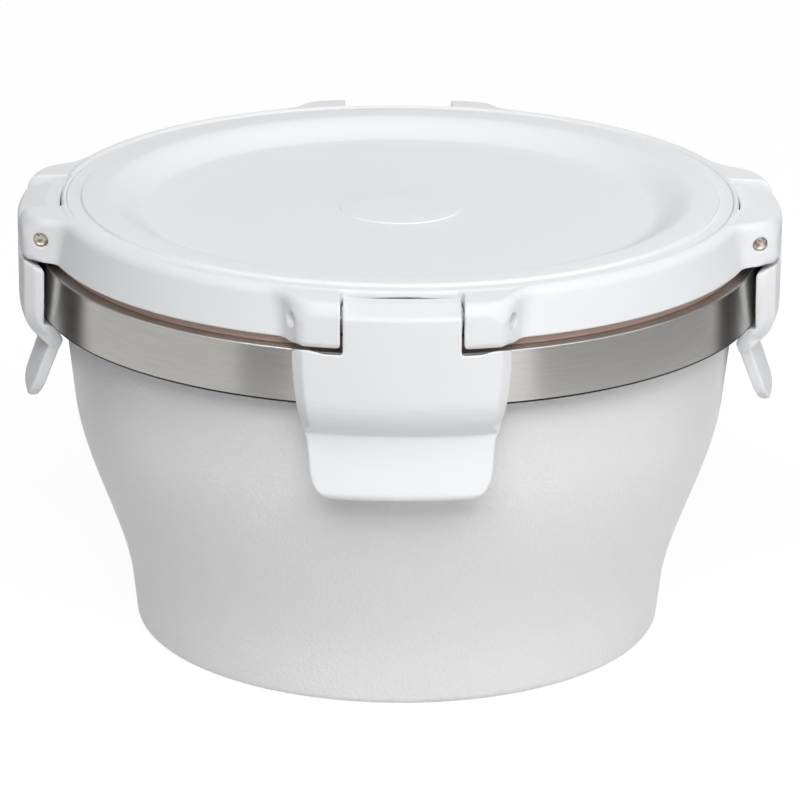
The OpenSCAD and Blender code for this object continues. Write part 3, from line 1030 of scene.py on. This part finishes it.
    def frame_distance(self, p: Array) -> Array:
        """Signed distance to the lid's frame, from four rules that repeat on each side.

        In plan the ring is a cone, and a pair of ears is the circle of the latches' face, cut by two
        slanted lines. Both are joined with a fillet, and cut by the top and bottom planes with rounded
        edges whose radius grows towards the ears' outer face. The inside is a stepped seat for the cover
        and the plug. A notch as wide as the latch's barrel and the pin's bore are cut out, with a rounded
        lip.

        Args:
            p: Points in millimetres, on a last axis of three.

        Returns:
            The signed distances.
        """
        x, y, z = np.abs(p[..., 0]), np.abs(p[..., 1]), p[..., 2]
        u, v = np.maximum(x, y), np.minimum(x, y)
        r = np.hypot(u, v)
        lean = self.cone_lean()
        cone = ((r - self.crest_r) * math.cos(lean) + (z - self.top_z + self.crest_round) * math.sin(lean)
                - self.crest_round)
        flank = (u - self.tip[0]) * self.away[0] + (v - self.tip[1]) * self.away[1]
        high = eased((z - self.ring_z) / self.ring_h)
        higher = eased((z - self.hinge_z - self.ear_drop) / self.corner_rise)
        ears = round_max(r - self.ear_r, flank,
                         self.ear_corner + (self.ear_top_corner - self.ear_corner) * higher)
        side = round_min(cone, ears, self.ear_flare + (self.ear_top_flare - self.ear_flare) * high)
        out = eased((r - self.ring_r) / (self.ear_r - self.ring_r))
        in_ear = eased((self.flank_start - flank) / self.flank_w)
        crest = np.clip((self.crest_r - r) / (self.crest_r - self.seam_r), 0.0, 1.0)
        drop = in_ear * (self.ear_drop * eased((r - self.crest_r + self.drop_start) / self.drop_w)
                         + self.ear_fall * np.maximum(r - self.crest_r, 0.0))
        top = z - self.top_z + self.strip_rise * crest ** 2 + drop
        solid = round_max(side, top, self.crest_round + (self.ear_top_round - self.crest_round) * out)
        low = eased((r - self.low_round_r) / self.low_round_w)
        low_round = self.ring_edge + (self.ear_low_round - self.ring_edge) * low
        solid = round_max(solid, self.ring_z - z, low_round)
        solid = round_max(solid, outline_distance(r, z, self.seat_outline()), self.seat_edge)
        from_pin = np.hypot(u - self.hinge_r, z - self.hinge_z)
        notch = round_max(v - self.notch_w, np.minimum(self.notch_r - r, from_pin - self.pocket_r),
                          self.notch_fillet)
        low_corner = round_max(self.ring_z - z, self.notch_w - v, self.notch_corner)
        in_plate = eased((r - self.notch_r) / self.blend_w)
        solid = np.maximum(solid, low_corner * in_plate - (1.0 - in_plate))
        middle = eased((self.notch_w - v) / self.blend_w)
        solid = round_max(solid, -notch, self.lip_round + (self.back_lip_round - self.lip_round) * middle)
        return round_max(solid, self.pin_r + self.bore_gap - from_pin, self.bore_round)

    def cone_lean(self) -> float:
        """The lean of the ring's side: that of the line that touches its upper and its lower rounding.

        Returns:
            The lean in radians.
        """
        run = self.ring_r - self.ring_edge - self.crest_r
        fall = self.ring_h - self.crest_round - self.ring_edge
        share = (self.crest_round - self.ring_edge) / math.hypot(run, fall)
        return math.atan2(-fall, run) + math.acos(share)

    def seat_outline(self) -> Array:
        """Outline of the space outside the frame's inner faces: the cover's ledge, flange and skirt.

        Returns:
            Rows of radius and height.
        """
        far = 40.0
        inner = self.plug_r + self.seat_gap
        flange, top = self.plug_r + self.flange_w, self.seat_z + self.flange_t
        skirt = self.ring_r - self.skirt_t
        return np.array([
            [inner, self.seat_z], [inner, top], [flange, top], [flange, self.ledge_z],
            [self.seam_r, self.ledge_z], [self.seam_r, self.top_z + far],
            [self.ear_r + far, self.top_z + far],
            [self.ear_r + far, self.ring_z - far], [skirt, self.ring_z - far], [skirt, self.seat_z]])

    def frame(self) -> bpy.types.Object:
        """The frame, found on a grid of angle, height and radius that is finest round the ears.

        Returns:
            The frame.
        """
        g = self.grid
        height = np.linspace(self.ring_z - g.below, self.top_z + g.above, g.rows)
        radius = np.concatenate([np.arange(self.plug_r - g.inside, self.seam_r - g.before_seam, g.step_in),
                                 np.arange(self.seam_r - g.outside, self.ear_r + g.outside, g.step_out)])
        points, faces, normals = surface_net(
            (g.angles(), height, radius),
            lambda a, z, r: np.stack([r * np.cos(a), r * np.sin(a), z], axis=-1),
            self.frame_distance, wraps=True)
        piece = make_object("lid_frame_moulded", points, faces.tolist())
        piece.data.normals_split_custom_set_from_vertices(normals.tolist())
        return piece

    def pin(self, side: Side) -> bpy.types.Object:
        """A hinge pin: a profile of radius and place turned about the pin's axis, with a knurled end.

        The radius of the knurled length is the pin's, less a small depth times half of one plus the cosine
        of the angle times the number of teeth. The rows of the profile hold the radius, the place in from
        the pin's end and the share of the knurl's depth.

        Args:
            side: The pin's side.

        Returns:
            The pin.
        """
        slant = (self.ear_root_w - self.ear_w) / (self.tip[0] - self.root[0])
        half = self.ear_w + slant * (self.tip[0] - self.hinge_r - self.pin_r) - self.seat_gap
        full = self.pin_r
        r, inwards, knurl = np.array([
            (0.0, 0.14, 0.0), (0.5, 0.13, 0.0), (0.95, 0.12, 0.0), (1.05, 0.03, 0.3), (1.25, 0.0, 0.8),
            (1.42, 0.03, 1.0), (full, 0.14, 1.0), (full, 0.5, 1.0), (full, 3.0, 1.0), (full, 4.0, 0.4),
            (full, 4.3, 0.0)]).T
        r = np.concatenate([r, r[::-1]])
        knurl = np.concatenate([knurl, knurl[::-1]])
        a = np.concatenate([half - inwards, inwards[::-1] - half])
        turns = 6 * self.knurl_teeth
        angle = np.linspace(0.0, 2.0 * math.pi, turns, endpoint=False)
        groove = (1.0 + np.cos(self.knurl_teeth * angle)) / 2
        radius = r[None, 1:-1] - self.knurl_depth * groove[:, None] * knurl[None, 1:-1]
        grid = np.stack([self.hinge_r + radius * np.cos(angle)[:, None],
                         np.broadcast_to(a[1:-1], radius.shape),
                         self.hinge_z + radius * np.sin(angle)[:, None]], axis=2)
        ends = [[self.hinge_r, a[0], self.hinge_z], [self.hinge_r, a[-1], self.hinge_z]]
        points = turned(np.concatenate([grid.reshape(-1, 3), ends]), side)
        faces = ring_faces(turns, grid.shape[1], poles=True)
        return make_object(f"pin_knurled_{side.name.lower()}", points, faces, crease=60.0)

    def build(self) -> None:
        """Builds the lid's pieces in order."""
        makers = {"lid_frame": self.frame, "lid_cover": self.cover, "lid_plug": self.plug,
                  "gasket": self.gasket}
        for node, make in makers.items():
            self.palette.stand_in(make(), node, "lid")
        for side in Side:
            self.palette.stand_in(self.pin(side), f"pin_{side.name.lower()}", "lid")


# The latches


@dataclass
class Latches:
    """The four hinged latches, which share one shape: a knuckle, a curved plate, a hook and a pull tab."""

    palette: Palette
    lid: Lid
    gap: float = 0.6
    plate_t: float = 3.7
    half_w: float = 21.2
    narrowing: float = 2.2
    tab_top_w: float = 18.4
    tab_low_w: float = 17.3
    tab_corner: float = 5.6
    shoulder_gap: float = 0.85
    shoulder_rise: float = 0.6
    hook_gap: float = 1.1
    hook_reach: float = 1.7
    waist_drop: float = 4.75
    waist_in: float = 4.73
    belly_slope: float = 48.4
    belly_round: float = 8.4
    tab_t: float = 2.3
    tab_len: float = 12.6
    tab_tilt: float = 19.3
    toe_rise: float = 2.2
    bevel_w: float = 1.95
    bevel_d: float = 1.9
    barrel_r: float = 3.3
    barrel_w: float = 11.4
    boss_r: float = 2.5
    boss_gap: float = 0.1
    shoulder_fall: float = 0.42
    knuckle_in: float = 2.75
    knuckle_h: float = 3.42
    knuckle_flat: float = 2.9
    knuckle_slope: float = 13.7
    knuckle_round: float = 1.1
    edge_round: float = 0.5
    bore_gap: float = 0.05
    crown_round: float = 2.0
    inner_round: float = 0.4
    heel_round: float = 0.5
    waist_round: float = 0.45
    tip_round: float = 1.1
    toe_round: float = 1.0
    neck_round: float = 0.6
    shoulder_round: float = 0.8
    side_round: float = 0.5
    tab_top_drop: float = 1.2
    tab_low_drop: float = 0.75
    rise_start: float = 3.0
    rise_w: float = 4.0
    fall_reach: float = 6.0
    fall_w: float = 3.0
    bevel_fade: float = 2.5
    bevel_round: float = 0.25
    boss_round: float = 0.2
    bore_round: float = 0.1
    cell: float = 0.34

    def __post_init__(self) -> None:
        """Works out the places that follow from the band and the lid."""
        bowl = self.lid.bowl
        self.in_r = bowl.band_r + self.gap
        self.out_r = self.in_r + self.plate_t
        self.shoulder_z = self.lid.ring_z - self.shoulder_gap
        self.hook_z = bowl.band_z - self.hook_gap
        self.hook_r = bowl.band_r - self.hook_reach
        self.waist_z = self.hook_z - self.waist_drop
        self.waist_r = self.out_r - self.waist_in
        self.belly_z = self.waist_z + self.waist_in / math.tan(math.radians(self.belly_slope))
        tilt = math.radians(self.tab_tilt)
        self.lean = np.array([math.sin(tilt), -math.cos(tilt)])
        self.side = np.array([math.cos(tilt), math.sin(tilt)])
        self.waist = np.array([self.waist_r, self.waist_z])
        self.tip = self.waist + self.tab_len * self.lean
        self.section = self.section_outline()
        self.face = self.face_outline()
        self.front = self.front_outline()

    def section_outline(self) -> Array:
        """Outline of the section: barrel, knuckle, plate, tab and hook, with arcs at the corners.

        Returns:
            Rows of radius and height.
        """
        axis = np.array([self.lid.hinge_r, self.lid.hinge_z])
        steep = math.degrees(math.acos(-self.knuckle_in / self.barrel_r))
        barrel = arc(axis, self.barrel_r, 270.0, steep, steps=16)
        crown_z, crown_r = axis[1] + self.knuckle_h, axis[0] - self.knuckle_in + self.knuckle_flat
        brow_z = crown_z - (self.out_r - crown_r) * math.tan(math.radians(self.knuckle_slope))
        inner_tip = self.tip - self.tab_t * self.side
        toe = self.waist - self.tab_t * self.side - self.toe_rise * self.lean
        corners = [(*row, 0.0) for row in barrel]
        corners += [(axis[0] - self.knuckle_in, crown_z, self.inner_round),
                    (crown_r, crown_z, self.crown_round),
                    (self.out_r, brow_z, self.knuckle_round), (self.out_r, self.belly_z, self.belly_round),
                    (*self.waist, self.waist_round), (*self.tip, self.tip_round),
                    (*inner_tip, self.tip_round), (*toe, self.toe_round),
                    (self.hook_r, self.hook_z, self.inner_round), (self.in_r, self.hook_z, self.inner_round),
                    (self.in_r, axis[1] - self.barrel_r, self.heel_round)]
        return rounded(corners)

    def face_outline(self) -> Array:
        """Outline of all that lies behind the plate's outer face.

        Returns:
            Rows of radius and height.
        """
        far, past_tip = 30.0, 10.0
        return rounded([
            (self.in_r - far, self.lid.top_z + far, 0.0), (self.out_r, self.lid.top_z + far, 0.0),
            (self.out_r, self.belly_z, self.belly_round), (*self.waist, 0.0),
            (*(self.tip + past_tip * self.lean), 0.0), (self.in_r - far, self.tip[1] - far, 0.0)])

    def front_outline(self) -> Array:
        """Outline of one half of the front view, as width and height.

        Above the shoulders it is as wide as the barrel. Below, the half width is that of the shoulders less
        the narrowing times the square of the share of the way down to the waist, and then the tab's.

        Returns:
            Rows of width and height.
        """
        side_rows = 9
        share = np.linspace(0.0, 1.0, side_rows)
        z = self.shoulder_z + (self.waist_z - self.shoulder_z) * share
        side = np.stack([self.half_w - self.narrowing * share ** 2, z], axis=1)
        low, far = self.tip[1] - self.tab_low_drop, 5.0
        corners = [(-far, self.lid.top_z + far, 0.0), (self.barrel_w, self.lid.top_z + far, 0.0),
                   (self.barrel_w, self.shoulder_z, self.neck_round), (*side[0], self.shoulder_round)]
        corners += [(*row, 0.0) for row in side[1:-1]]
        corners += [(*side[-1], self.side_round),
                    (self.tab_top_w, self.waist_z - self.tab_top_drop, self.side_round),
                    (self.tab_low_w, low, self.tab_corner), (-far, low, 0.0)]
        return rounded(corners)

    def distance(self, p: Array) -> Array:
        """Signed distance to a latch on the +X side.

        It is what the section turned about the bowl's axis and the front view share, with rounded edges.
        The shoulders rise a little to the sides and fall inwards. The plate's outer corners are bevelled
        by a plane of the two distances, a bevel that fades out below the waist. The boss is joined on, and
        the pin's bore is cut.

        Args:
            p: Points in millimetres, on a last axis of three.

        Returns:
            The signed distances.
        """
        x, y, z = p[..., 0], np.abs(p[..., 1]), p[..., 2]
        r = np.hypot(x, y)
        section = outline_distance(r, z, self.section)
        inwards = np.clip(self.out_r - r, 0.0, self.plate_t)
        outwards = eased((y - self.barrel_w - self.rise_start) / self.rise_w)
        near_top = eased((z - self.shoulder_z + self.fall_reach) / self.fall_w)
        raised = z + (self.shoulder_fall * inwards - self.shoulder_rise * outwards) * near_top
        front = outline_distance(y, np.where(y > self.barrel_w, raised, z), self.front)
        solid = round_max(section, front, self.edge_round)
        share = np.clip((self.shoulder_z - z) / (self.shoulder_z - self.waist_z), 0.0, 1.0)
        edge = y - (self.half_w - self.narrowing * share ** 2)
        fade = 1.0 - eased((self.waist_z + self.bevel_fade - z) / self.bevel_fade)
        steep = math.hypot(1.0 / self.bevel_w, 1.0 / self.bevel_d)
        bevel = (edge / self.bevel_w + outline_distance(r, z, self.face) / self.bevel_d + fade) / steep
        solid = round_max(solid, bevel, self.bevel_round)
        from_pin = np.hypot(x - self.lid.hinge_r, z - self.lid.hinge_z)
        boss = round_max(from_pin - self.boss_r, y - self.lid.notch_w + self.boss_gap, self.boss_round)
        solid = np.minimum(solid, boss)
        return round_max(solid, self.lid.pin_r + self.bore_gap - from_pin, self.bore_round)

    def build(self) -> None:
        """Finds the surface once and builds the four latches from it."""
        inside, outside, below, above = 1.0, 0.6, 1.2, 0.4
        hook_share = 0.93
        nearest = min(self.lid.hinge_r - self.barrel_r, self.hook_r * hook_share)
        x = np.arange(nearest - inside, self.out_r + outside, self.cell)
        y = np.arange(-self.half_w - outside, self.half_w + outside + self.cell, self.cell)
        z = np.arange(self.tip[1] - below, self.lid.top_z + above, self.cell)
        points, faces, normals = surface_net(
            (x, y, z), lambda a, b, c: np.stack([a, b, c], axis=-1), self.distance)
        for side in Side:
            node = f"latch_{side.name.lower()}"
            piece = make_object(f"{node}_moulded", turned(points, side), faces.tolist())
            piece.data.normals_split_custom_set_from_vertices(turned(normals, side).tolist())
            self.palette.stand_in(piece, node, node)


# The studio


@dataclass(frozen=True)
class Panel:
    """A lamp or a card that stands round the bowl and faces it.

    Its azimuth is in degrees from the camera's side, positive to the right as the camera sees it. The
    distance, the height of its middle, its width and its height are in millimetres. Its strength is its
    brightness, where 1 is white.
    """

    name: str
    azimuth: float
    distance: float
    height: float
    width: float
    tall: float
    strength: float
    near: float = 500.0
    bowl_middle: float = 60.0

    def pose(self) -> Matrix:
        """Gives the pose at which the panel's +Z axis looks level, if near, or else at the bowl's middle.

        Returns:
            The pose.
        """
        a = math.radians(self.azimuth)
        level = self.height if self.distance < self.near else self.bowl_middle
        spot = (self.distance * math.sin(a), -self.distance * math.cos(a), self.height)
        return aimed(spot, (0.0, 0.0, level))


@dataclass
class Studio:
    """A white studio: the floor, the surroundings, the lamps, the cards and the camera."""

    camera_spot: tuple[float, float, float] = (0.0, -867.5, 339.0)
    lens: float = 195.35
    sensor_w: float = 36.0
    sight: float = 50.0
    pitch: float = 18.634
    yaw: float = 0.021
    roll: float = 0.475
    bowl_turn: float = 0.46
    ambient: float = 0.03
    floor_colour: str = "#e6e6e6"
    floor_w: float = 8000.0
    floor_drop: float = 0.05
    floor_share: float = 0.85
    floor_glow: float = 1.08
    lamps: tuple[Panel, ...] = (
        Panel("lamp_overhead", 0.0, 60.0, 1000.0, 1200.0, 1200.0, 0.2),
        Panel("lamp_front_high", 0.0, 900.0, 800.0, 900.0, 500.0, 5.9),
        Panel("lamp_high_left", -50.0, 450.0, 1000.0, 500.0, 500.0, 6.4),
        Panel("lamp_high_right", 45.0, 600.0, 900.0, 600.0, 500.0, 1.6),
        Panel("lamp_right", 75.0, 700.0, 350.0, 500.0, 700.0, 1.4),
        Panel("lamp_back_high", 180.0, 700.0, 800.0, 900.0, 500.0, 1.0),
    )
    cards: tuple[Panel, ...] = (
        Panel("card_black_left", -100.7, 140.0, 90.0, 47.0, 180.0, 0.03),
        Panel("card_black_right", 100.5, 140.0, 90.0, 45.0, 180.0, 0.03),
        Panel("card_pale_left", -70.9, 230.0, 110.0, 227.0, 220.0, 0.72),
        Panel("card_grey_left", -34.8, 230.0, 110.0, 68.0, 220.0, 0.31),
        Panel("card_bright_right", 29.0, 225.0, 110.0, 40.0, 220.0, 1.15),
        Panel("card_grey_right", 68.5, 230.0, 110.0, 292.0, 220.0, 0.42),
    )

    def camera(self) -> None:
        """Sets the camera at the viewing angle, turned about the bowl as far as the bowl is turned."""
        a, w, o = (math.radians(v) for v in (self.pitch, self.yaw, self.roll))
        ahead = np.array([math.sin(w) * math.cos(a), math.cos(w) * math.cos(a), -math.sin(a)])
        level = np.array([math.cos(w), -math.sin(w), 0.0])
        up = np.cross(level, ahead)
        right = level * math.cos(o) + up * math.sin(o)
        over = -level * math.sin(o) + up * math.cos(o)
        turn = Matrix.Rotation(-math.radians(self.bowl_turn), 4, "Z")
        pose = Matrix.Identity(4)
        for column, axis in enumerate((right, over, -ahead, np.array(self.camera_spot) * MM)):
            for row in range(3):
                pose[row][column] = float(axis[row])
        data = bpy.data.cameras.new("camera")
        data.lens, data.sensor_width, data.clip_end = self.lens, self.sensor_w, self.sight
        camera = bpy.data.objects.new("camera", data)
        camera.matrix_world = turn @ pose
        bpy.context.scene.collection.objects.link(camera)
        bpy.context.scene.camera = camera

    def seen_share(self, tree: bpy.types.NodeTree) -> Any:
        """Gives 1 for a ray from the camera, and for one that a gloss or a clear body sends on.

        Args:
            tree: The node tree.

        Returns:
            The socket that holds the share.
        """
        path = add_node(tree, "ShaderNodeLightPath").outputs
        seen = add_node(tree, "ShaderNodeMath", {0: path["Is Camera Ray"], 1: path["Is Glossy Ray"]},
                        operation="MAXIMUM")
        return add_node(tree, "ShaderNodeMath", {0: seen.outputs[0], 1: path["Is Transmission Ray"]},
                        operation="MAXIMUM").outputs[0]

    def surroundings(self) -> None:
        """White to the camera and in reflections, and otherwise a faint even light from all round."""
        world = bpy.data.worlds.new("studio_white")
        bpy.context.scene.world = world
        world.use_nodes = True
        tree = world.node_tree
        tree.nodes.clear()
        dim = add_node(tree, "ShaderNodeBackground", {"Color": WHITE, "Strength": self.ambient})
        bright = add_node(tree, "ShaderNodeBackground", {"Color": WHITE, "Strength": 1.0})
        mixed = add_node(tree, "ShaderNodeMixShader", {0: self.seen_share(tree), 1: dim.outputs[0],
                                                       2: bright.outputs[0]})
        add_node(tree, "ShaderNodeOutputWorld", {0: mixed.outputs[0]})

    def plane(self, name: str, pose: Matrix, width: float, tall: float) -> bpy.types.Object:
        """Makes a flat sheet.

        Args:
            name: The sheet's name.
            pose: Its pose, with its face towards +Z.
            width: Its width in millimetres.
            tall: Its height in millimetres.

        Returns:
            The sheet.
        """
        corners = np.array([[-1, -1, 0], [1, -1, 0], [1, 1, 0], [-1, 1, 0]]) * [width / 2, tall / 2, 1]
        sheet = make_object(name, corners.astype(float), [[0, 1, 2, 3]])
        sheet.matrix_world = pose
        return sheet

    def floor(self) -> None:
        """A white floor, which to the camera glows most of the way to white and keeps a soft shadow."""
        pose = Matrix.Translation((0.0, 0.0, -self.floor_drop * MM))
        floor = self.plane("floor", pose, self.floor_w, self.floor_w)
        material, tree = new_surface("floor_white_paper")
        share = add_node(tree, "ShaderNodeMath", {0: self.seen_share(tree), 1: self.floor_share},
                         operation="MULTIPLY")
        paper = add_node(tree, "ShaderNodeBsdfDiffuse", {"Color": linear(self.floor_colour)})
        glow = add_node(tree, "ShaderNodeEmission", {"Color": WHITE, "Strength": self.floor_glow})
        layers = {0: share.outputs[0], 1: paper.outputs[0], 2: glow.outputs[0]}
        floor.data.materials.append(finished(material, layers, "ShaderNodeMixShader"))

    def card(self, panel: Panel) -> None:
        """Stands up a card that shows in reflections alone, and so takes no light from the bowl.

        Args:
            panel: The card's place, size and brightness.
        """
        card = self.plane(panel.name, panel.pose(), panel.width, panel.tall)
        material, _ = new_surface(f"{panel.name}_paper")
        glow = {"Color": WHITE, "Strength": panel.strength}
        card.data.materials.append(finished(material, glow, "ShaderNodeEmission"))
        card.visible_camera = card.visible_diffuse = card.visible_shadow = False

    def lamp(self, panel: Panel) -> None:
        """Hangs a soft box, whose power is its brightness times its area times pi.

        Args:
            panel: The lamp's place, size and brightness.
        """
        data = bpy.data.lights.new(panel.name, "AREA")
        data.shape, data.size, data.size_y = "RECTANGLE", panel.width * MM, panel.tall * MM
        data.energy = panel.strength * math.pi * panel.width * panel.tall * MM * MM
        lamp = bpy.data.objects.new(panel.name, data)
        lamp.matrix_world = panel.pose() @ Matrix.Rotation(math.pi, 4, "Y")
        lamp.visible_camera = False
        bpy.context.scene.collection.objects.link(lamp)

    def build(self) -> None:
        """Sets the stage."""
        self.camera()
        self.surroundings()
        self.floor()
        for panel in self.lamps:
            self.lamp(panel)
        for panel in self.cards:
            self.card(panel)
        bpy.context.scene.view_settings.view_transform = "Standard"


def aimed(spot: Sequence[float], aim: Sequence[float]) -> Matrix:
    """Gives the pose of a thing at one point whose +Z axis looks at another.

    Args:
        spot: The point where it stands, in millimetres.
        aim: The point that it looks at, in millimetres.

    Returns:
        The pose.
    """
    here = Vector(spot) * MM
    towards = Vector(aim) * MM - here
    return Matrix.Translation(here) @ towards.to_track_quat("Z", "Y").to_matrix().to_4x4()


def main() -> None:
    """Builds the studio and the pieces in order."""
    logging.basicConfig(level=logging.INFO, format="%(name)s: %(message)s")
    Studio().build()
    palette = Palette()
    bowl = Bowl(palette)
    bowl.build()
    lid = Lid(palette, bowl)
    lid.build()
    Latches(palette, lid).build()


if __name__ == "__main__":
    main()
